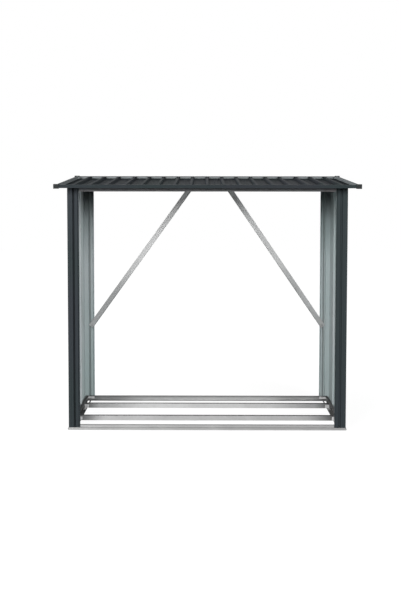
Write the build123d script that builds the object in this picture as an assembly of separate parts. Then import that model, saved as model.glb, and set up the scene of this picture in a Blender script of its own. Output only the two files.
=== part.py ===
from build123d import *
from math import cos, radians, sin, sqrt, tan
import os

# A log store of folded sheet steel: two ribbed side walls that turn the corners as short wings,
# an open front and back, a base of folded rails, and a ribbed roof that rises to the back.
# Millimetres. X runs to the right, Y to the back and Z up, from the middle of the footprint.

# Walls
wall_width = 1736.0
wall_depth = 740.0
wall_sheet = 1.0
wing_width = 71.0
groove_mouth = 15.0
groove_floor = 7.0
groove_depth = 8.0
wing_groove_place = 38.0
wing_crease_place = 19.0
crease_width = 5.0
crease_depth = 1.2
edge_lip = 5.0
corner_leg = 185.0
side_groove_pitch = 95.0
side_groove_inset = 36.5
wall_lap = 24.0
lap_bend = 3.0
lap_gap = 0.5
wall_top_gap = 1.0

# Base rails and bearers
rail_sheet = 1.5
rail_height = 34.0
front_rail_height = 30.0
rear_rail_height = 37.0
side_rail_flange = 18.0
end_rail_flange = 14.0
ledge_height = 15.0
ledge_nose = 6.0
nose_height = 9.0
nose_undercut = 3.0
side_foot_width = 36.0
end_foot_width = 6.0
foot_lip_height = 4.0
corner_notch_width = 14.0
corner_notch_length = 55.0
mitre_gap = 0.3
anchor_hole = 11.0
anchor_hole_inset = 100.0
anchor_hole_edge = 16.0
bearer_offset = 155.0
bearer_flange = 24.0
bearer_end_gap = 0.5

# Top rails and braces
beam_height = 28.0
beam_top_flange = 20.0
beam_low_flange = 14.0
beam_end_gap = 2.0
brace_notch_gap = 3.0
brace_width = 36.0
brace_lip = 12.0
brace_sheet = 1.5
brace_top_x = 102.0
brace_top_shift = 18.0
brace_low_inset = 46.0
brace_low_height = 533.0
brace_top_drop = 12.0

# Roof
overall_height = 1600.0
roof_side_overhang = 72.0
roof_end_overhang = 75.0
roof_slope = 3.9
roof_sheet = 0.9
rib_height = 15.0
rib_top = 14.0
rib_foot = 27.0
rib_pitch = 102.5
middle_rib_count = 11
lap_rib_pitch = 114.5
last_rib_gap = 40.0
roof_lap = 30.0
swage_width = 9.0
swage_height = 1.6
trim_sheet = 1.2
trim_height = 20.5
trim_low_flange = 22.0
trim_top_flange = 10.0
trim_overrun = 24.0
roof_edge_gap = 1.0
side_trim_height = 25.5
cap_length = 32.0
cap_depth = 22.0
cap_wall = 3.5

slope_rise = tan(radians(roof_slope))
slope_sin = sin(radians(roof_slope))
slope_cos = cos(radians(roof_slope))
web_inset = wall_sheet + groove_depth
half_width = wall_width / 2
half_depth = wall_depth / 2
brace_low_x = half_width - brace_low_inset
roof_width = wall_width + 2 * roof_side_overhang
roof_run = wall_depth + 2 * roof_end_overhang
roof_half_width = roof_width / 2 - trim_overrun
cap_height = trim_height + 2 * cap_wall
roof_reach = roof_run / 2 + cap_wall
roof_centre_height = overall_height - roof_reach * slope_sin - (trim_height + cap_wall) * slope_cos
roof_centre_y = trim_height * slope_sin / 2


def roof_underside(y):
    """Height of the underside of the roof sheets at a place along the depth."""
    sheet_line = trim_sheet / slope_cos
    return roof_centre_height + sheet_line + (y - roof_centre_y) * slope_rise


def corner_offset(before, point, after, distance):
    """A point moved to the left of a path that turns there, so both runs keep their thickness."""
    ax, ay = point[0] - before[0], point[1] - before[1]
    bx, by = after[0] - point[0], after[1] - point[1]
    a_length, b_length = sqrt(ax * ax + ay * ay), sqrt(bx * bx + by * by)
    nx = -ay / a_length - by / b_length
    ny = ax / a_length + bx / b_length
    share = 1 + (ax * bx + ay * by) / (a_length * b_length)
    return point[0] + nx * distance / share, point[1] + ny * distance / share


def folded_face(path, thickness):
    """The cross-section of a folded sheet: a path of its outer face, thickened to the left."""
    first, last = path[0], path[-1]
    lead_in = (2 * first[0] - path[1][0], 2 * first[1] - path[1][1])
    lead_out = (2 * last[0] - path[-2][0], 2 * last[1] - path[-2][1])
    padded = [lead_in] + path + [lead_out]
    inner = [corner_offset(*padded[i:i + 3], thickness) for i in range(len(path))]
    outline = Polyline(path + inner[::-1], close=True)
    return make_face(outline)


def groove_points(centre):
    """A groove along one axis: its place along the sheet, and its depth below the face."""
    return [
        (centre - groove_mouth / 2, 0),
        (centre - groove_floor / 2, groove_depth),
        (centre + groove_floor / 2, groove_depth),
        (centre + groove_mouth / 2, 0),
    ]


def mirrored(shape, left=False, rear=False):
    """A piece of the front right corner, turned over to the left or to the rear."""
    if left:
        shape = shape.mirror(Plane.YZ)
    if rear:
        shape = shape.mirror(Plane.XZ)
    return shape


# Wall panels
def lap_step():
    """Distance from the middle of the side to where its panel bends in behind a corner panel."""
    return half_depth - corner_leg - lap_bend - lap_gap


def under_roof(solid):
    """A wall panel cut off just below the slope of the roof."""
    reach = wall_depth
    front = roof_underside(-reach) - wall_top_gap
    rear = roof_underside(reach) - wall_top_gap
    outline = Polyline((-reach, -1), (reach, -1), (reach, rear), (-reach, front), close=True)
    keep = extrude(Plane.YZ * make_face(outline), amount=wall_width, both=True)
    return solid & keep


def upright_sheet(section, left, rear=False):
    """A wall panel raised from its plan section, from the ledge up to the roof."""
    raised = Pos(0, 0, ledge_height) * extrude(section, amount=overall_height)
    return under_roof(mirrored(raised, left, rear))


def crease_points(centre):
    """A fine stiffening crease: its place along the sheet, and its depth below the face."""
    return [(centre - crease_width / 2, 0), (centre, crease_depth), (centre + crease_width / 2, 0)]


def corner_panel_path():
    """Outer face of the front right panel, from the wing's edge round the corner to the lap."""
    edge = half_width - wing_width
    slant = (groove_mouth - groove_floor) / 2
    lip = [(edge, groove_depth), (edge + edge_lip, groove_depth), (edge + edge_lip + slant, 0)]
    groove = groove_points(half_width - wing_groove_place)
    crease = crease_points(half_width - wing_crease_place)
    wing = lip + groove + crease + [(half_width, 0)]
    return [(x, -half_depth + dip) for x, dip in wing] + [(half_width, -half_depth + corner_leg)]


def corner_panel(left, rear):
    """A ribbed panel that forms one wing and one end of a side wall."""
    section = folded_face(corner_panel_path(), wall_sheet)
    return upright_sheet(section, left, rear)


def middle_panel(left):
    """The panel between two corner panels, its edges stepped in behind theirs."""
    step = lap_step()
    reach = step + lap_bend + wall_lap
    behind = half_width - wall_sheet
    outer_groove = step - side_groove_inset
    spaces = int(2 * outer_groove / side_groove_pitch)
    path = [(behind, -reach), (behind, -step - lap_bend), (half_width, -step)]
    for index in range(spaces + 1):
        place = outer_groove * (2 * index / spaces - 1)
        path += [(half_width - dip, y) for y, dip in groove_points(place)]
    path += [(half_width, step), (behind, step + lap_bend), (behind, reach)]
    return upright_sheet(folded_face(path, wall_sheet), left)


# Base
def base_rail_section(height, flange, foot):
    """Section of a rail, across and up: top flange, web, ledge, pointed nose and foot in one fold."""
    web = ledge_nose + web_inset
    path = [
        (web + flange, height),
        (web, height),
        (web, ledge_height),
        (ledge_nose, ledge_height),
        (0, nose_height),
        (nose_undercut, 0),
        (web + foot, 0),
    ]
    if foot > end_foot_width:
        path.append((web + foot, foot_lip_height))
    return folded_face(path, rail_sheet)


def mitred(rail, outer_length, outer_line):
    """A rail along X, mitred at its ends, then square where its foot meets the next rail's foot."""
    mitre = ledge_nose + web_inset + end_foot_width
    reach = mitre + side_foot_width
    half = outer_length / 2 - mitre_gap
    outline = Polyline(
        (-half, outer_line),
        (half, outer_line),
        (half - mitre, outer_line + mitre),
        (half - mitre, outer_line + reach),
        (-half + mitre, outer_line + reach),
        (-half + mitre, outer_line + mitre),
        close=True,
    )
    return rail & extrude(make_face(outline), amount=overall_height)


def base_rail(length, line, section):
    """A base rail along X whose nose stands on the given line."""
    rail = Pos(0, line, 0) * extrude(Plane.YZ * section, amount=length / 2, both=True)
    return mitred(rail, length, line)


def end_base_rail(rear):
    """The base rail across the open front or the open back."""
    height = rear_rail_height if rear else front_rail_height
    section = base_rail_section(height, end_rail_flange, end_foot_width)
    rail = base_rail(wall_width + 2 * ledge_nose, -half_depth - ledge_nose, section)
    return mirrored(rail, rear=rear)


def side_base_rail(left):
    """The base rail under a side wall, with anchor holes and corner notches in its foot."""
    length = wall_depth + 2 * ledge_nose
    section = base_rail_section(rail_height, side_rail_flange, side_foot_width)
    rail = base_rail(length, -half_width - ledge_nose, section)
    hole_line = -half_width + web_inset + side_foot_width - anchor_hole_edge
    hole_place = half_depth - anchor_hole_inset
    foot_end = half_depth - web_inset - end_foot_width
    hole = Cylinder(anchor_hole / 2, 4 * rail_sheet)
    notch = Box(2 * corner_notch_length, corner_notch_width, 4 * rail_sheet)
    for end in (-1, 1):
        rail -= Pos(end * hole_place, hole_line, 0) * hole
        rail -= Pos(end * foot_end, hole_line, 0) * notch
    rail = Rot(0, 0, -90 if left else 90) * rail
    lip_line = (half_width - web_inset - side_foot_width) * (-1 if left else 1)
    for line in (-bearer_offset, bearer_offset):
        middle = line + bearer_flange / 2
        rail -= Pos(lip_line, middle, rail_sheet + foot_lip_height) * lip_gap()
    return rail


def lip_gap():
    """The gap in the lip of a side rail's foot where a bearer passes over it."""
    return Box(4 * rail_sheet, bearer_flange + 2 * bearer_end_gap, 2 * foot_lip_height)


def bearer(y):
    """A channel laid across the base, held between the feet and the top flanges of the side rails."""
    low = rail_sheet
    high = rail_height - rail_sheet
    path = [(y + bearer_flange, high), (y, high), (y, low), (y + bearer_flange, low)]
    half_length = half_width - web_inset - rail_sheet - bearer_end_gap
    return extrude(Plane.YZ * folded_face(path, rail_sheet), amount=half_length, both=True)


# Top frame
def front_beam():
    """The beam over the open front: a channel whose top flange follows the roof."""
    web = -half_depth + web_inset
    top = roof_underside(web)
    inner = web + beam_top_flange
    path = [
        (inner, roof_underside(inner)),
        (web, top),
        (web, top - beam_height),
        (web + beam_low_flange, top - beam_height),
    ]
    half_length = half_width - web_inset
    return extrude(Plane.YZ * folded_face(path, rail_sheet), amount=half_length, both=True)


def rear_beam():
    """The beam over the open back, which faces the other way."""
    web = half_depth - web_inset
    top = roof_underside(web)
    inner = web - beam_top_flange
    path = [
        (web - beam_low_flange, top - beam_height),
        (web, top - beam_height),
        (web, top),
        (inner, roof_underside(inner)),
    ]
    half_length = half_width - web_inset
    beam = extrude(Plane.YZ * folded_face(path, rail_sheet), amount=half_length, both=True)
    low = top - beam_height
    for left in (True, False):
        notch = Pos(brace_place(low, left), web - rail_sheet, low) * brace_notch(low, left)
        beam -= mirrored(notch, left)
    return beam


def side_top_rail(left):
    """The rail along the top of a side wall, laid to the slope between the two beams."""
    web = half_width - web_inset
    path = [
        (web - beam_low_flange, trim_sheet - beam_height),
        (web, trim_sheet - beam_height),
        (web, trim_sheet),
        (web - beam_top_flange, trim_sheet),
    ]
    length = (wall_depth - 2 * (web_inset + beam_top_flange + beam_end_gap)) / slope_cos
    section = Plane.XZ * folded_face(path, rail_sheet)
    rail = on_roof(extrude(section, amount=length / 2, both=True))
    return mirrored(rail, left)


def brace_line():
    """Distance back to the face of the rear beam that the braces lie against."""
    return half_depth - web_inset - rail_sheet


def brace_top():
    """Height of the middle of a brace's upper end, inside the rear beam."""
    return roof_underside(brace_line()) - rail_sheet - brace_top_drop


def brace_top_place(left):
    """How far a brace's upper end is from the centre; the pair stands a little to the right."""
    return brace_top_x - brace_top_shift if left else brace_top_x + brace_top_shift


def brace_place(height, left):
    """How far a brace's middle line is from the centre of the store at a height."""
    start = brace_top_place(left)
    share = (brace_top() - height) / (brace_top() - brace_low_height)
    return start + share * (brace_low_x - start)


def brace_notch(height, left):
    """The gap cut in the lower flange of the rear beam where a brace passes through it."""
    run = brace_place(height, left) - brace_place(height + 1, left)
    width = (brace_width + 2 * brace_notch_gap) * sqrt(1 + run * run)
    depth = beam_low_flange + 1
    tall = 4 * rail_sheet
    return Pos(0, -depth / 2, 0) * Box(width + tall * run, depth, tall)


def brace(left):
    """A diagonal angle across one back corner, its lip along the lower edge."""
    line = brace_line()
    top = brace_top()
    start = brace_top_place(left)
    run = brace_low_x - start
    drop = top - brace_low_height
    length = sqrt(run * run + drop * drop)
    path = [
        (-brace_width / 2, brace_lip),
        (-brace_width / 2, 0),
        (brace_width / 2, 0),
    ]
    section = folded_face(path, brace_sheet)
    bar = extrude(section, amount=length / 2, both=True)
    frame = Plane(
        origin=((start + brace_low_x) / 2, line, (top + brace_low_height) / 2),
        x_dir=(drop / length, 0, run / length),
        z_dir=(run / length, 0, -drop / length),
    )
    return mirrored(frame * bar, left)


# Roof
def on_roof(shape):
    """A piece drawn on the level, tilted to the slope and raised to its place."""
    return Pos(0, roof_centre_y, roof_centre_height) * Rot(roof_slope, 0, 0) * shape


def rib_points(centre):
    """A rib of the roof sheet, across and up."""
    return [
        (centre - rib_foot / 2, 0),
        (centre - rib_top / 2, rib_height),
        (centre + rib_top / 2, rib_height),
        (centre + rib_foot / 2, 0),
    ]


def swage_points(centre):
    """A low stiffening swage in the middle of a pan."""
    return [
        (centre - swage_width / 2, 0),
        (centre, swage_height),
        (centre + swage_width / 2, 0),
    ]


def lap_centre():
    """Distance from the middle of the roof to the middle of a lap between sheets."""
    return (middle_rib_count - 1) / 2 * rib_pitch + lap_rib_pitch / 2


def roof_sheet_solid(points):
    """A roof sheet drawn from its underside and laid on the lower flanges of the trims."""
    lifted = [(x, z + trim_sheet) for x, z in points]
    length = roof_run - 2 * (trim_sheet + roof_edge_gap)
    sheet = extrude(Plane.XZ * folded_face(lifted, roof_sheet), amount=length / 2, both=True)
    return on_roof(sheet)


def middle_roof_sheet():
    """The middle sheet, its two edges stepped up over the side sheets."""
    reach = lap_centre() + roof_lap / 2
    step = lap_centre() - roof_lap / 2
    points = [(-reach, roof_sheet), (-step - lap_bend, roof_sheet), (-step, 0)]
    for index in range(middle_rib_count):
        place = (index - (middle_rib_count - 1) / 2) * rib_pitch
        points += rib_points(place)
        if index < middle_rib_count - 1:
            points += swage_points(place + rib_pitch / 2)
    points += [(step, 0), (step + lap_bend, roof_sheet), (reach, roof_sheet)]
    return roof_sheet_solid(points)


def side_roof_sheet(left):
    """A side sheet, from under the middle sheet out to the side trim."""
    edge = roof_half_width - trim_sheet - roof_edge_gap
    place = lap_centre() + lap_rib_pitch / 2
    points = [(lap_centre() - roof_lap / 2 + lap_bend + lap_gap, 0)]
    while place < edge - last_rib_gap:
        points += rib_points(place)
        if place + rib_pitch < edge - last_rib_gap:
            points += swage_points(place + rib_pitch / 2)
        place += rib_pitch
    points += [(edge, 0)]
    return mirrored(roof_sheet_solid(points), left)


def trim_section(height):
    """Section of a roof trim, across and up: a channel open to the sheets."""
    path = [
        (trim_top_flange, height),
        (0, height),
        (0, 0),
        (trim_low_flange, 0),
    ]
    return folded_face(path, trim_sheet)


def end_trim(rear):
    """The trim across the ends of the ribs, at the front or the rear edge."""
    half_length = roof_width / 2 - cap_wall
    bar = extrude(Plane.YZ * trim_section(trim_height), amount=half_length, both=True)
    bar = Pos(0, -roof_run / 2, 0) * bar
    if rear:
        bar = bar.mirror(Plane.XZ)
    return on_roof(bar)


def side_trim(left):
    """The trim along a side edge, between the flanges of the front and rear trims."""
    length = roof_run - 2 * (trim_low_flange + roof_edge_gap)
    section = Plane.XZ * trim_section(side_trim_height)
    bar = extrude(section, amount=length / 2, both=True)
    bar = (Pos(-roof_half_width, 0, 0) * bar).mirror(Plane.YZ)
    return mirrored(on_roof(bar), left)


def corner_cap(left, rear):
    """A moulded cap pushed over one end of a front or rear trim."""
    outer = Box(cap_length, cap_depth + cap_wall, cap_height)
    pocket = Box(cap_length, cap_depth + cap_wall, trim_height)
    cap = outer - Pos(-cap_wall, cap_wall, 0) * pocket
    middle_y = -roof_run / 2 - cap_wall + (cap_depth + cap_wall) / 2
    cap = Pos(roof_width / 2 - cap_length / 2, middle_y, trim_height / 2) * cap
    if rear:
        cap = cap.mirror(Plane.XZ)
    return mirrored(on_roof(cap), left)


def log_store():
    """Every piece of the log store by name."""
    pieces = {
        "base_front_rail": end_base_rail(rear=False),
        "base_rear_rail": end_base_rail(rear=True),
        "base_front_bearer": bearer(-bearer_offset),
        "base_rear_bearer": bearer(bearer_offset),
        "top_front_beam": front_beam(),
        "top_rear_beam": rear_beam(),
        "roof_sheet_middle": middle_roof_sheet(),
        "roof_trim_front": end_trim(rear=False),
        "roof_trim_rear": end_trim(rear=True),
    }
    for side, left in (("left", True), ("right", False)):
        pieces[f"base_{side}_rail"] = side_base_rail(left)
        pieces[f"wall_panel_middle_{side}"] = middle_panel(left)
        pieces[f"top_{side}_rail"] = side_top_rail(left)
        pieces[f"rear_brace_{side}"] = brace(left)
        pieces[f"roof_sheet_{side}"] = side_roof_sheet(left)
        pieces[f"roof_trim_{side}"] = side_trim(left)
        for end, rear in (("front", False), ("rear", True)):
            pieces[f"wall_panel_{end}_{side}"] = corner_panel(left, rear)
            pieces[f"roof_cap_{end}_{side}"] = corner_cap(left, rear)
    return pieces


os.makedirs("parts", exist_ok=True)
for name, piece in log_store().items():
    export_step(piece, f"parts/{name}.step")
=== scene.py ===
import bmesh
import bpy
from math import cos, pi, radians, sin, tan
from mathutils import Matrix, Vector


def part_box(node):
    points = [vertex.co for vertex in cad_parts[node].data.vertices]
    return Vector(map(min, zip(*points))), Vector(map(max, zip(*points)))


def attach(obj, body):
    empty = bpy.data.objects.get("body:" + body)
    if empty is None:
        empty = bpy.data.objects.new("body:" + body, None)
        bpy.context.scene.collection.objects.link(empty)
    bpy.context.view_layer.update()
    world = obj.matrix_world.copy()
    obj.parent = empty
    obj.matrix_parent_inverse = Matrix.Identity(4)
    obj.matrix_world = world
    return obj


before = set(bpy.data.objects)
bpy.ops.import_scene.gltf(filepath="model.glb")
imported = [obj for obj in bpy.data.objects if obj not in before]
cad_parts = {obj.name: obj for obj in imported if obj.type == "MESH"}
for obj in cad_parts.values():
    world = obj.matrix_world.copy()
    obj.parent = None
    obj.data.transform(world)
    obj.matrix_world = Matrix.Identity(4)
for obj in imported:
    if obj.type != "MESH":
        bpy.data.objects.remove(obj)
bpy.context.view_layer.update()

# The look of the log store: its finishes, its small fixings, the light and the camera.
# Metres, in the frame of the solids: X to the right, Y to the back, Z up.

scene = bpy.context.scene

# Camera, fitted to the edges of the photograph
camera_place = (-0.0189, -5.676, 1.540)
camera_pitch = 0.0550
camera_yaw = 0.0045
camera_roll = 0.0008
sensor_width = 36.0
focal_pixels = 858.2
image_size = (401, 601)
principal_row = 231.4

# Light: two tall soft lamps in front, one at the left, one low at the right behind, and a faint surround
light_target = (0.0, 0.0, 0.9)
key_place = (-3.8, -7.6, 4.0)
key_size = (3.0, 4.0)
key_power = 480.0
fill_place = (4.2, -7.6, 4.0)
fill_size = (3.0, 4.0)
fill_power = 430.0
side_place = (-5.5, -1.2, 2.3)
side_size = (1.5, 1.5)
side_power = 170.0
back_place = (6.0, 4.5, 2.0)
back_size = (2.0, 2.0)
back_power = 110.0
world_light = 0.035
white = 1.0

# Floor: its glow to the camera rises from floor_glow beside the store to white further out
floor_half_size = 14.0
floor_cells = 8
floor_tone = 0.14
floor_glow = 0.94
glow_start = 1.0
glow_end = 2.0

# Sizes of the solids that the finishes and the small pieces follow
wall_low, wall_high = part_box("wall_panel_front_right")
half_width = wall_high[0]
half_depth = -wall_low[1]
sheet = 0.001
groove_depth = 0.008
groove_half = 0.0075
groove_inset = 0.038
wing_groove = half_width - groove_inset
middle_grooves = (-0.145, -0.0483, 0.0483, 0.145)
corner_leg = 0.185
lap_inset = 0.012
lap_line = half_depth - corner_leg + lap_inset
web_inset = sheet + groove_depth
rail_sheet = 0.0015
ledge_height = 0.015
beam_height = 0.028
side_rail_foot = 0.036
bearer_lines = (-0.155, 0.155)
roof_slope = radians(3.9)
roof_run = 0.890
roof_half_width = 0.916
trim_height = 0.0205
trim_sheet = 0.0012
roof_sheet = 0.0009
rib_top = 0.014
rib_foot = 0.027
rib_pitch = 0.1025
lap_rib_pitch = 0.1145
middle_ribs = 11
side_ribs = 3
brace_sheet = 0.0015
brace_face = half_depth - web_inset - rail_sheet - brace_sheet
brace_low_inset = 0.046
brace_low_x = half_width - brace_low_inset
brace_low_height = 0.533
brace_top_drop = 0.012
brace_top_places = {-1: -0.084, 1: 0.120}
end_rail_heights = {-1: 0.030, 1: 0.037}
trim_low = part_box("roof_trim_front")[0]

# Sizes of the small pieces
fold_radius = {"sheet": 0.0005, "cap": 0.0015, "closer": 0.0004, "bracket": 0.0003}
fold_segments = 2
fold_angle = radians(15)
turned_sides = 16
washer_sides = 20
hexagon_sides = 6
pan_head_outline = [
    (0.0032, 0), (0.0032, 0.0008), (0.0028, 0.0016), (0.0020, 0.0021), (0.0011, 0.0023), (0.0011, 0.0012),
]
washer_outline = [(0.0070, 0), (0.0070, 0.0010), (0.0066, 0.0013)]
hexagon_outline = [(0.0048, 0), (0.0048, 0.0030), (0.0042, 0.0036)]
low_screw_height = 0.0245
lap_bolt_heights = (0.33, 0.63, 0.93, 1.23)
roof_screw_line = 0.352
roof_screw_offset = 0.020
roof_bead = 0.003
closer_depth = 0.020
closer_foot_margin = 0.001
closer_top_margin = 0.002
closer_gap = 0.001
brace_bolt_inset = 0.015
sleeve_radius = 0.0055

# Brackets in the base, given for the right side and mirrored
bracket_overlap = 0.010
bracket_outer = 0.841
bracket_low = 0.003
bracket_high = 0.026
bracket_bolt_x = 0.822
bracket_bolt_height = 0.016
tongue_inner = 0.8255
tongue_outer = 0.8455
tongue_length = 0.045
tongue_bolt_x = 0.8360
tongue_bolt_reach = 0.028
corner_long = 0.058
corner_short = 0.035
corner_lift = 0.001
corner_clearance = 0.0035
corner_bolt_x = 0.815
corner_bolt_reach = 0.024

roof_origin = Vector((
    0,
    trim_low[1] + roof_run / 2 * cos(roof_slope) + trim_height * sin(roof_slope),
    trim_low[2] + roof_run / 2 * sin(roof_slope),
))
on_roof = Matrix.Translation(roof_origin) @ Matrix.Rotation(roof_slope, 4, "X")


def under_roof(y):
    """Height of the underside of the roof sheets at a place along the depth."""
    return roof_origin.z + trim_sheet / cos(roof_slope) + (y - roof_origin.y) * tan(roof_slope)


class Surface:
    """A procedural material: its tree of nodes, with short calls that add to it."""

    def __init__(self, name, specular=0.5):
        self.material = bpy.data.materials.new(name)
        self.material.use_nodes = True
        self.tree = self.material.node_tree
        self.shader = self.tree.nodes["Principled BSDF"]
        self.shader.inputs["Specular IOR Level"].default_value = specular
        coordinates = self.node("ShaderNodeTexCoord")
        self.place = coordinates.outputs["Object"]
        self.facing = coordinates.outputs["Normal"]

    def node(self, kind, inputs=None, **settings):
        made = self.tree.nodes.new(kind)
        for key, value in settings.items():
            setattr(made, key, value)
        for key, value in (inputs or {}).items():
            self.put(made.inputs[key], value)
        return made

    def put(self, socket, value):
        if isinstance(value, bpy.types.NodeSocket):
            self.tree.links.new(value, socket)
        else:
            socket.default_value = value

    def set(self, name, value):
        self.put(self.shader.inputs[name], value)

    def math(self, operation, first, second=0.0):
        return self.node("ShaderNodeMath", {0: first, 1: second}, operation=operation).outputs[0]

    def axis(self, vector, index):
        return self.node("ShaderNodeSeparateXYZ", {0: vector}).outputs[index]

    def stretched(self, scale):
        made = self.node("ShaderNodeVectorMath", {0: self.place, 1: scale}, operation="MULTIPLY")
        return made.outputs[0]

    def noise(self, scale, detail=3.0, stretch=(1, 1, 1)):
        vector = self.stretched(stretch)
        made = self.node("ShaderNodeTexNoise", {"Vector": vector, "Scale": scale, "Detail": detail})
        return made.outputs["Fac"]

    def cells(self, scale):
        made = self.node("ShaderNodeTexVoronoi", {"Vector": self.place, "Scale": scale})
        return self.axis(made.outputs["Color"], 0)

    def range(self, value, low, high, to_low=0.0, to_high=1.0):
        inputs = {0: value, 1: low, 2: high, 3: to_low, 4: to_high}
        return self.node("ShaderNodeMapRange", inputs).outputs[0]

    def mix(self, share, first, second):
        made = self.node("ShaderNodeMix", data_type="RGBA")
        self.put(made.inputs["Factor"], share)
        self.put(made.inputs["A"], self.colour(first))
        self.put(made.inputs["B"], self.colour(second))
        return made.outputs["Result"]

    def colour(self, value):
        return value if isinstance(value, bpy.types.NodeSocket) else (*value, 1.0)

    def scaled(self, colour, factor):
        """A colour made brighter or darker."""
        made = self.node("ShaderNodeVectorMath", operation="SCALE")
        self.put(made.inputs[0], colour)
        self.put(made.inputs["Scale"], factor)
        return made.outputs[0]

    def bump(self, height, strength, distance):
        inputs = {"Height": height, "Strength": strength, "Distance": distance}
        return self.node("ShaderNodeBump", inputs).outputs["Normal"]


# Finishes
anthracite_cool = (0.041, 0.046, 0.055)
anthracite_green = (0.037, 0.048, 0.051)
anthracite_dust = (0.058, 0.063, 0.068)
trim_grey = (0.034, 0.039, 0.045)
trim_green = (0.031, 0.041, 0.044)
reverse_grey = (0.56, 0.65, 0.65)
reverse_pale = (0.62, 0.67, 0.68)
zinc_light = (0.58, 0.58, 0.58)
zinc_dark = (0.48, 0.48, 0.48)
black_plastic = (0.012, 0.014, 0.015)
black_plastic_worn = (0.020, 0.023, 0.024)
paint_specular = 0.05
paint_roughness = (0.36, 0.50)

# How far a face is turned towards a direction, from -1 to 1
turned_away = 0.1
turned_outward = 0.95
turned_to_middle = 0.9

# Tones fitted to the photograph, here and in frame_finishes. They put its light and shadow into the
# base colours and aren't known differences of finish, so they look right under these lamps only.
# Painted light: the beams are painted much paler than the walls, to make up for the shadow under the trim
beam_tone_painted_light = (0.275, 0.280, 0.290)
beam_warm_painted_light = (0.290, 0.275, 0.285)
# Painted light: a paler inner coat for the left middle panel
reverse_painted_light = (0.74, 0.78, 0.80)
# Painted shade: the trims' inner faces are darker than the walls' reverse coat
trim_back_painted_shade = (0.25, 0.275, 0.285)
trim_back_pale_painted_shade = (0.28, 0.305, 0.31)
zinc_upward = (0.115, 0.115, 0.113)
# Painted light: the brackets and their bolts are made much brighter than the other zinc
bracket_painted_light = 1.6
roof_specular = 0.00015
roof_roughness = (0.20, 0.26)
groove_shade = 0.65
ridge_shade = 0.5
rear_shades = {"left": (0.2, 0.80), "right": (0.9, 0.60)}
roof_shade_start = 0.28
roof_shade_full = 0.09
tone_half_span = 0.7
end_zone = (0.74, 0.83)
low_band = 0.007


def painted_sheet(name, back_of=None, shade_of=None, paints=(anthracite_cool, anthracite_green),
                  backs=(reverse_grey, reverse_pale), specular=paint_specular, roughness=paint_roughness):
    """Paint over thin steel; back_of tells where the coat of the reverse side shows."""
    surface = Surface(name, specular)
    tone = surface.noise(scale=2.2, detail=2.0, stretch=(1, 1, 0.5))
    paint = surface.mix(surface.range(tone, 0.4, 0.6), *paints)
    streaks = surface.noise(scale=7.0, detail=4.0, stretch=(6, 6, 0.35))
    dusty = surface.range(streaks, 0.45, 0.8, to_low=0.0, to_high=0.08)
    colour = surface.mix(dusty, paint, anthracite_dust)
    rough = surface.range(surface.noise(scale=26.0), 0.3, 0.7, *roughness)
    if back_of is not None:
        share = back_of(surface)
        cloud = surface.noise(scale=3.0, stretch=(1, 1, 0.4))
        back = surface.mix(surface.range(cloud, 0.35, 0.65), *backs)
        colour = surface.mix(share, colour, back)
        rough = surface.math("ADD", rough, surface.math("MULTIPLY", share, 0.15))
    if shade_of is not None:
        colour = surface.scaled(colour, surface.math("SUBTRACT", 1.0, shade_of(surface)))
    surface.set("Base Color", colour)
    surface.set("Roughness", rough)
    waves = surface.noise(scale=6.0, detail=1.0, stretch=(1, 1, 0.4))
    surface.set("Normal", surface.bump(waves, strength=0.04, distance=0.004))
    return surface.material


def wall_back(side, end):
    """The inner faces of a corner panel: by the wing's own side near the end, else by the wall's."""
    def share(surface):
        sideways = surface.math("MULTIPLY", surface.axis(surface.facing, 0), float(side))
        endways = surface.math("MULTIPLY", surface.axis(surface.facing, 1), float(end))
        along = surface.math("MULTIPLY", surface.axis(surface.place, 1), float(end))
        in_wing = surface.math("GREATER_THAN", along, half_depth - groove_depth - 1.5 * sheet)
        wing_back = surface.math("LESS_THAN", endways, turned_away)
        leg_back = surface.math("LESS_THAN", sideways, turned_away)
        outer_leg = surface.math("GREATER_THAN", sideways, turned_outward)
        wing_share = surface.math("MULTIPLY", wing_back, surface.math("SUBTRACT", 1.0, outer_leg))
        first = surface.math("MULTIPLY", in_wing, wing_share)
        second = surface.math("MULTIPLY", surface.math("SUBTRACT", 1.0, in_wing), leg_back)
        return surface.math("ADD", first, second)
    return share


def front_shade(side):
    """A fitted tone: the photograph's shadow along the floor of a front wing's groove."""
    def share(surface):
        across = surface.math("MULTIPLY", surface.axis(surface.place, 0), float(side))
        away = surface.math("ABSOLUTE", surface.math("SUBTRACT", across, wing_groove))
        return surface.range(away, 0.3 * groove_half, 0.7 * groove_half, groove_shade, 0.0)
    return share


def rear_shade(side, inset, depth):
    """Fitted tones: the photograph's shadow beside a rear wing's ridge, and towards the roof.

    The part towards the roof darkens the whole corner panel, so it also shows as a dark patch on the
    outside of the side wall, which is a known fault.
    """
    def share(surface):
        across = surface.math("MULTIPLY", surface.axis(surface.place, 0), float(side))
        ridge_side = wing_groove - inset * groove_half
        away = surface.math("ABSOLUTE", surface.math("SUBTRACT", across, ridge_side))
        beside = surface.range(away, 0.5 * groove_half, 0.9 * groove_half, ridge_shade, 0.0)
        top = under_roof(half_depth)
        height = surface.axis(surface.place, 2)
        under = surface.range(height, top - roof_shade_start, top - roof_shade_full, 0.0, depth)
        return surface.math("MAXIMUM", beside, under)
    return share


def side_back(side):
    """The inner faces of a middle panel."""
    def share(surface):
        sideways = surface.math("MULTIPLY", surface.axis(surface.facing, 0), float(side))
        return surface.math("LESS_THAN", sideways, 0.0)
    return share


def under_back(surface):
    """The undersides of the roof sheets."""
    return surface.math("LESS_THAN", surface.axis(surface.facing, 2), 0.0)


def inner_back(direction):
    """The inner face of a trim's web: the one that faces the middle of the roof."""
    def share(surface):
        inputs = {0: surface.facing, 1: direction}
        along = surface.node("ShaderNodeVectorMath", inputs, operation="DOT_PRODUCT")
        return surface.math("GREATER_THAN", along.outputs["Value"], turned_to_middle)
    return share


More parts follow.
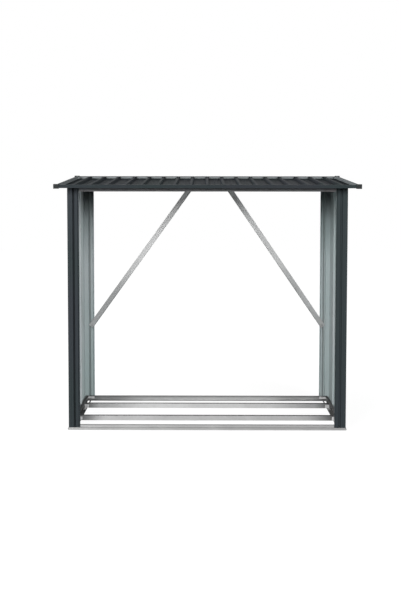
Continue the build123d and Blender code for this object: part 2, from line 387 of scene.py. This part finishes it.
def galvanised(name, left=1.0, right=1.0, end_shade=0.0, low=1.0):
    """Zinc-coated steel with soft spangle, darker where it faces up.

    The four numbers are fitted tones of painted light and shade: factors at the left and the right end of the
    store, the painted shade taken away beside the walls, and a factor of painted light at the foot.
    """
    surface = Surface(name, specular=0.2)
    spangle = surface.cells(scale=110.0)
    cloud = surface.noise(scale=5.0, detail=4.0)
    fine = surface.math("MULTIPLY", spangle, 0.12)
    mixed = surface.math("ADD", fine, surface.math("MULTIPLY", cloud, 0.88))
    zinc = surface.mix(surface.range(mixed, 0.3, 0.7), zinc_dark, zinc_light)
    across = surface.axis(surface.place, 0)
    # Painted shade beside the walls, and painted light and shade from the left end of the store to the right
    ends = surface.range(surface.math("ABSOLUTE", across), *end_zone, 1.0, 1.0 - end_shade)
    sideways = surface.range(across, -tone_half_span, tone_half_span, left, right)
    shade = surface.math("MULTIPLY", sideways, ends)
    height = surface.axis(surface.place, 2)
    # Painted light at the foot, below the ledge's height, where the factor is above 1
    fold = surface.range(height, ledge_height, ledge_height + low_band, low, 1.0)
    shade = surface.math("MULTIPLY", shade, fold)
    upward = surface.range(surface.axis(surface.facing, 2), 0.5, 0.95)
    colour = surface.mix(surface.math("MULTIPLY", upward, 0.85), zinc, zinc_upward)
    surface.set("Base Color", surface.scaled(colour, shade))
    surface.set("Metallic", surface.range(upward, 0.0, 1.0, to_low=0.25, to_high=0.05))
    rough = surface.range(spangle, 0.0, 1.0, to_low=0.50, to_high=0.53)
    surface.set("Roughness", surface.math("ADD", rough, surface.math("MULTIPLY", upward, 0.3)))
    grain = surface.noise(scale=40.0, detail=2.0)
    surface.set("Normal", surface.bump(grain, strength=0.03, distance=0.0006))
    return surface.material


def moulded(name):
    """Black moulded plastic with a fine grain."""
    surface = Surface(name, specular=0.2)
    cloud = surface.noise(scale=30.0)
    surface.set("Base Color", surface.mix(surface.range(cloud, 0.3, 0.7), black_plastic, black_plastic_worn))
    surface.set("Roughness", surface.range(cloud, 0.3, 0.7, to_low=0.45, to_high=0.6))
    grain = surface.noise(scale=1400.0, detail=2.0)
    surface.set("Normal", surface.bump(grain, strength=0.2, distance=0.0003))
    return surface.material


def trim_finish(name, inward):
    """Paint outside and, on the face towards the middle of the roof, a reverse coat made darker as painted
    shade.
    """
    paints = (trim_grey, trim_green)
    backs = (trim_back_painted_shade, trim_back_pale_painted_shade)
    return painted_sheet(f"anthracite_{name}", inner_back(inward), paints=paints, backs=backs)


def wing_shade(end, side, sign):
    """The fitted tones of a corner panel, of which the right front one has none."""
    if end == "rear":
        return rear_shade(sign, *rear_shades[side])
    if side == "left":
        return front_shade(sign)
    return None


def frame_finishes():
    """The finish of each solid that doesn't take the beams' paint."""
    plastic = moulded("black_plastic")
    roof_top = painted_sheet("anthracite_roof", under_back, specular=roof_specular, roughness=roof_roughness)
    finishes = {
        "roof_trim_front": trim_finish("trim_front", (0, cos(roof_slope), sin(roof_slope))),
        "roof_trim_rear": trim_finish("trim_rear", (0, -cos(roof_slope), -sin(roof_slope))),
        # The zinc factors are painted light and shade: lighter or darker along each brace and rail, darker
        # beside the walls, paler at the feet of the end rails, and a darker left rail
        "rear_brace_left": galvanised("galvanised_left_brace", left=1.10, right=1.80),
        "rear_brace_right": galvanised("galvanised_right_brace", left=1.45, right=1.10),
        "base_rear_rail": galvanised("galvanised_rear_rail", left=0.66, right=0.78, end_shade=0.50, low=1.45),
        "base_rear_bearer": galvanised("galvanised_rear_bearer", left=1.20, right=0.98, end_shade=0.72),
        "base_front_bearer": galvanised("galvanised_front_bearer", left=1.05, right=0.76, end_shade=0.66),
        "base_front_rail": galvanised("galvanised_front_rail", left=0.88, right=0.68, low=1.25),
        "base_left_rail": galvanised("galvanised_left_rail", left=0.45, right=0.45),
        "base_right_rail": galvanised("galvanised_right_rail", left=0.80, right=0.80),
    }
    for side, sign in (("left", -1), ("right", 1)):
        finishes[f"roof_trim_{side}"] = trim_finish(f"trim_{side}", (-sign, 0, 0))
        # The left middle panel's inner coat is paler as painted light
        backs = (reverse_painted_light, reverse_pale) if side == "left" else (reverse_grey, reverse_pale)
        middle = painted_sheet(f"anthracite_middle_{side}", side_back(sign), backs=backs)
        finishes[f"wall_panel_middle_{side}"] = middle
        for end, along in (("front", -1), ("rear", 1)):
            name = f"anthracite_{end}_{side}"
            shade = wing_shade(end, side, sign)
            finishes[f"wall_panel_{end}_{side}"] = painted_sheet(name, wall_back(sign, along), shade)
    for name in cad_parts:
        if name.startswith("roof_cap"):
            finishes[name] = plastic
        elif name.startswith("roof_sheet"):
            finishes[name] = roof_top
    return finishes


def dress_frame(paint, zinc):
    """Gives every solid its finish and slightly rounded folds."""
    finishes = frame_finishes()
    for name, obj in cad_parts.items():
        # Solids without a finish of their own take the beams' paint, which is pale as painted light
        plain = zinc if name.startswith(("base", "rear_brace")) else paint
        obj.data.materials.clear()
        obj.data.materials.append(finishes.get(name, plain))
        round_folds(obj, fold_radius["cap" if name.startswith("roof_cap") else "sheet"])


def round_folds(obj, radius):
    bevel = obj.modifiers.new("rounded_folds", "BEVEL")
    bevel.width = radius
    bevel.segments = fold_segments
    bevel.limit_method = "ANGLE"
    bevel.angle_limit = fold_angle
    bevel.harden_normals = True


# Small pieces
def seat(point, direction):
    """A place for a turned piece: its foot at the point, its axis in the direction."""
    return Matrix.Translation(point) @ Vector(direction).to_track_quat("Z", "Y").to_matrix().to_4x4()


def turned(shape, place, outline, sides=turned_sides):
    """Adds a body turned about the local Z axis, from an outline of radii and heights."""
    rings = []
    for radius, height in outline:
        turns = [2 * pi * index / sides for index in range(sides)]
        ring = [place @ Vector((radius * cos(turn), radius * sin(turn), height)) for turn in turns]
        rings.append([shape.verts.new(point) for point in ring])
    for low, high in zip(rings, rings[1:]):
        for index in range(sides):
            follow = (index + 1) % sides
            shape.faces.new((low[index], low[follow], high[follow], high[index]))
    shape.faces.new(rings[0][::-1])
    shape.faces.new(rings[-1])


def extruded(shape, place, outline, length):
    """Adds a prism: an outline in local X and Y, drawn out along local Z."""
    low = [shape.verts.new(place @ Vector((x, y, 0))) for x, y in outline]
    high = [shape.verts.new(place @ Vector((x, y, length))) for x, y in outline]
    for index in range(len(outline)):
        follow = (index + 1) % len(outline)
        shape.faces.new((low[index], low[follow], high[follow], high[index]))
    shape.faces.new(low[::-1])
    shape.faces.new(high)


def piece(name, shape, material, radius=None):
    """Makes an object of a mesh and lets it go with the frame."""
    bmesh.ops.recalc_face_normals(shape, faces=shape.faces)
    mesh = bpy.data.meshes.new(name)
    shape.to_mesh(mesh)
    shape.free()
    mesh.materials.append(material)
    obj = bpy.data.objects.new(name, mesh)
    scene.collection.objects.link(obj)
    if radius:
        round_folds(obj, radius)
    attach(obj, "root")


def pan_head(shape, point, direction):
    turned(shape, seat(point, direction), pan_head_outline)


def bolt_head(shape, point, direction, washered=True):
    """A hexagon head or nut, on a washer."""
    place = seat(point, direction)
    if washered:
        turned(shape, place, washer_outline, washer_sides)
        place = place @ Matrix.Translation((0, 0, washer_outline[-1][1]))
    turned(shape, place, hexagon_outline, hexagon_sides)


def wall_screws(material):
    """Screws in the grooves of the walls, into the base rails and into the top frame."""
    shape = bmesh.new()
    face = half_depth - groove_depth
    for end in (-1, 1):
        for x in (-wing_groove, wing_groove):
            top = under_roof(end * face) - beam_height / 2
            for z in (low_screw_height, top):
                pan_head(shape, (x, end * face, z), (0, end, 0))
    for side in (-1, 1):
        for y in middle_grooves:
            for z in (low_screw_height, under_roof(y) - beam_height / 2):
                pan_head(shape, (side * (half_width - groove_depth), y, z), (side, 0, 0))
    piece("wall_screws", shape, material)


def lap_bolts(material):
    """Bolts through the lapped edges of the side walls, with nuts inside."""
    shape = bmesh.new()
    for side in (-1, 1):
        for y in (-lap_line, lap_line):
            for z in lap_bolt_heights:
                pan_head(shape, (side * half_width, y, z), (side, 0, 0))
                bolt_head(shape, (side * (half_width - 2 * sheet), y, z), (-side, 0, 0), washered=False)
    piece("lap_bolts", shape, material)


def rib_places():
    """Where the ribs of the roof run, from its middle outwards."""
    half = (middle_ribs - 1) // 2
    places = [index * rib_pitch for index in range(-half, half + 1)]
    for index in range(side_ribs):
        place = half * rib_pitch + lap_rib_pitch + index * rib_pitch
        places += [-place, place]
    return sorted(places)


def roof_screws(material):
    """Painted screws in every second pan, over the front and rear beams."""
    shape = bmesh.new()
    ribs = rib_places()
    for left, right in list(zip(ribs, ribs[1:]))[::2]:
        for y in (-roof_screw_line, roof_screw_line):
            point = Vector(((left + right) / 2 + roof_screw_offset, y, trim_sheet + roof_sheet))
            over_washer = point + Vector((0, 0, washer_outline[-1][1]))
            turned(shape, on_roof @ Matrix.Translation(point), washer_outline, washer_sides)
            turned(shape, on_roof @ Matrix.Translation(over_washer), hexagon_outline, hexagon_sides)
    piece("roof_screws", shape, material)


def rib_closers(material):
    """Black blocks that close the ends of the ribs, and a bead of sealant beside the trim; their black also
    stands as painted shade at the rib ends and along the trim.
    """
    shape = bmesh.new()
    low = trim_sheet + roof_sheet
    high = trim_height - trim_sheet
    outline = [
        (-rib_foot / 2 - closer_foot_margin, low),
        (rib_foot / 2 + closer_foot_margin, low),
        (rib_top / 2 + closer_top_margin, high),
        (-rib_top / 2 - closer_top_margin, high),
    ]
    bead = [(0, low), (roof_bead, low), (0, low + roof_bead)]
    inner = roof_run / 2 - trim_sheet - closer_gap
    for end in (-1, 1):
        across = Matrix.Diagonal((1, end, 1, 1)) @ Matrix.Rotation(pi / 2, 4, "X")
        for x in rib_places():
            start = Matrix.Translation((x, end * inner, 0))
            extruded(shape, on_roof @ start @ across, outline, closer_depth)
        along = Matrix.Translation((-roof_half_width, end * inner, 0))
        upright = Matrix(((0, 0, 1, 0), (-end, 0, 0, 0), (0, 1, 0, 0), (0, 0, 0, 1)))
        extruded(shape, on_roof @ along @ upright, bead, 2 * roof_half_width)
    piece("rib_closers", shape, material, fold_radius["closer"])


def base_brackets(material):
    """Angle brackets that hold the bearers to the feet, and the rails to each other at the corners."""
    plates = bmesh.new()
    bolts = bmesh.new()
    foot_inner = half_width - web_inset - side_rail_foot
    side_web = half_width - web_inset - rail_sheet
    end_web = half_depth - web_inset - rail_sheet
    upward = Matrix.Rotation(pi / 2, 4, "X")
    upright = [
        (foot_inner - bracket_overlap, bracket_low),
        (bracket_outer, bracket_low),
        (bracket_outer, bracket_high),
        (foot_inner - bracket_overlap, bracket_high),
    ]
    angle = [
        (side_web, end_web - corner_short),
        (side_web, end_web),
        (side_web - corner_long, end_web),
        (side_web - corner_long, end_web - rail_sheet),
        (side_web - rail_sheet, end_web - rail_sheet),
        (side_web - rail_sheet, end_web - corner_short),
    ]
    lift = Matrix.Translation((0, 0, ledge_height + corner_lift))
    for side in (-1, 1):
        flip = Matrix.Diagonal((side, 1, 1, 1))
        for line in bearer_lines:
            extruded(plates, flip @ Matrix.Translation((0, line, 0)) @ upward, upright, rail_sheet)
            tongue = [
                (tongue_inner, line - tongue_length),
                (tongue_outer, line - tongue_length),
                (tongue_outer, line),
                (tongue_inner, line),
            ]
            extruded(plates, flip @ Matrix.Translation((0, 0, rail_sheet)), tongue, rail_sheet)
            bolt_head(bolts, (side * bracket_bolt_x, line - rail_sheet, bracket_bolt_height), (0, -1, 0))
            bolt_head(bolts, (side * tongue_bolt_x, line - tongue_bolt_reach, 2 * rail_sheet), (0, 0, 1))
        for end, height in end_rail_heights.items():
            corner = Matrix.Diagonal((side, end, 1, 1)) @ lift
            extruded(plates, corner, angle, height - ledge_height - corner_clearance)
            middle = (height + ledge_height) / 2
            bolt_head(bolts, (side * corner_bolt_x, end * (end_web - rail_sheet), middle), (0, -end, 0))
            place = (side * (side_web - rail_sheet), end * (end_web - corner_bolt_reach), middle)
            bolt_head(bolts, place, (-side, 0, 0))
    piece("base_brackets", plates, material, fold_radius["bracket"])
    piece("base_bolts", bolts, material)


def brace_bolts(material):
    """Bolts at both ends of the braces, with a spacer behind each lower one."""
    shape = bmesh.new()
    beam_inner = brace_face + brace_sheet
    top = under_roof(beam_inner) - rail_sheet - brace_top_drop
    wing_inner = half_depth - sheet
    for side, start in brace_top_places.items():
        high = Vector((start, 0, top))
        low = Vector((side * brace_low_x, 0, brace_low_height))
        run = (low - high).normalized()
        for point, back in ((high + brace_bolt_inset * run, beam_inner + rail_sheet),
                            (low - brace_bolt_inset * run, half_depth)):
            bolt_head(shape, (point.x, brace_face, point.z), (0, -1, 0))
            bolt_head(shape, (point.x, back, point.z), (0, 1, 0))
        foot = low - brace_bolt_inset * run
        sleeve = [(sleeve_radius, 0), (sleeve_radius, wing_inner - beam_inner)]
        turned(shape, seat((foot.x, beam_inner, foot.z), (0, 1, 0)), sleeve)
    piece("brace_bolts", shape, material)


# Camera, floor and light
def make_camera():
    data = bpy.data.cameras.new("camera")
    data.sensor_width = sensor_width
    data.lens = focal_pixels * sensor_width / image_size[1]
    data.shift_y = (principal_row - image_size[1] / 2) / image_size[1]
    camera = bpy.data.objects.new("camera", data)
    scene.collection.objects.link(camera)
    turn = Matrix.Rotation(camera_yaw, 4, "Z")
    tilt = Matrix.Rotation(pi / 2 - camera_pitch, 4, "X")
    roll = Matrix.Rotation(camera_roll, 4, "Z")
    camera.matrix_world = Matrix.Translation(camera_place) @ turn @ tilt @ roll
    scene.camera = camera


def soft_light(name, place, size, power):
    data = bpy.data.lights.new(name, "AREA")
    data.shape = "RECTANGLE"
    data.size, data.size_y = size
    data.energy = power
    lamp = bpy.data.objects.new(name, data)
    scene.collection.objects.link(lamp)
    lamp.location = place
    lamp.rotation_euler = (Vector(light_target) - Vector(place)).to_track_quat("-Z", "Y").to_euler()


def seen_directly(tree):
    """1 for rays that show the surroundings, straight from the camera or by gloss or glass."""
    path = tree.nodes.new("ShaderNodeLightPath")
    total = path.outputs["Is Camera Ray"]
    for name in ("Is Glossy Ray", "Is Transmission Ray"):
        add = tree.nodes.new("ShaderNodeMath")
        add.operation = "MAXIMUM"
        tree.links.new(total, add.inputs[0])
        tree.links.new(path.outputs[name], add.inputs[1])
        total = add.outputs[0]
    return total


def make_world():
    world = bpy.data.worlds.new("studio")
    scene.world = world
    world.use_nodes = True
    tree = world.node_tree
    strength = tree.nodes.new("ShaderNodeMapRange")
    tree.links.new(seen_directly(tree), strength.inputs[0])
    strength.inputs[3].default_value = world_light
    strength.inputs[4].default_value = white
    background = tree.nodes["Background"]
    background.inputs["Color"].default_value = (white, white, white, 1)
    tree.links.new(strength.outputs[0], background.inputs["Strength"])


def make_floor():
    """A pale floor: white to the camera, with only the faint shadow that the store casts."""
    shape = bmesh.new()
    bmesh.ops.create_grid(shape, x_segments=floor_cells, y_segments=floor_cells, size=floor_half_size)
    mesh = bpy.data.meshes.new("floor")
    shape.to_mesh(mesh)
    shape.free()
    floor = bpy.data.objects.new("floor", mesh)
    scene.collection.objects.link(floor)
    material = bpy.data.materials.new("pale_floor")
    material.use_nodes = True
    tree = material.node_tree
    diffuse = tree.nodes.new("ShaderNodeBsdfDiffuse")
    diffuse.inputs["Color"].default_value = (floor_tone, floor_tone, floor_tone, 1)
    glow = tree.nodes.new("ShaderNodeEmission")
    place = tree.nodes.new("ShaderNodeTexCoord")
    distance = tree.nodes.new("ShaderNodeVectorMath")
    distance.operation = "LENGTH"
    tree.links.new(place.outputs["Object"], distance.inputs[0])
    rise = tree.nodes.new("ShaderNodeMapRange")
    tree.links.new(distance.outputs["Value"], rise.inputs[0])
    for index, value in enumerate((glow_start, glow_end, floor_glow, white), start=1):
        rise.inputs[index].default_value = value
    scale = tree.nodes.new("ShaderNodeMath")
    scale.operation = "MULTIPLY"
    tree.links.new(seen_directly(tree), scale.inputs[0])
    tree.links.new(rise.outputs[0], scale.inputs[1])
    tree.links.new(scale.outputs[0], glow.inputs["Strength"])
    both = tree.nodes.new("ShaderNodeAddShader")
    tree.links.new(diffuse.outputs[0], both.inputs[0])
    tree.links.new(glow.outputs[0], both.inputs[1])
    tree.links.new(both.outputs[0], tree.nodes["Material Output"].inputs["Surface"])
    tree.nodes.remove(tree.nodes["Principled BSDF"])
    mesh.materials.append(material)


make_camera()
scene.view_settings.view_transform = "Standard"
make_world()
make_floor()
soft_light("key", key_place, key_size, key_power)
soft_light("fill", fill_place, fill_size, fill_power)
soft_light("side", side_place, side_size, side_power)
soft_light("back", back_place, back_size, back_power)
# The beams' paint is pale as painted light
beam_coat_painted_light = painted_sheet("beams_painted_light", paints=(beam_tone_painted_light, beam_warm_painted_light))
screw_paint = painted_sheet("anthracite_screws")
zinc = galvanised("galvanised_steel")
# Zinc for the brackets and base bolts, brightened as painted light
bracket_zinc_painted_light = galvanised("zinc_brackets_painted_light", left=bracket_painted_light, right=bracket_painted_light)
# Black for the rib closers and the bead, also giving painted shade at the rib ends and along the trims
closer_black_painted_shade = moulded("black_seals_painted_shade")
dress_frame(beam_coat_painted_light, zinc)
wall_screws(screw_paint)
lap_bolts(zinc)
roof_screws(screw_paint)
rib_closers(closer_black_painted_shade)
base_brackets(bracket_zinc_painted_light)
brace_bolts(zinc)
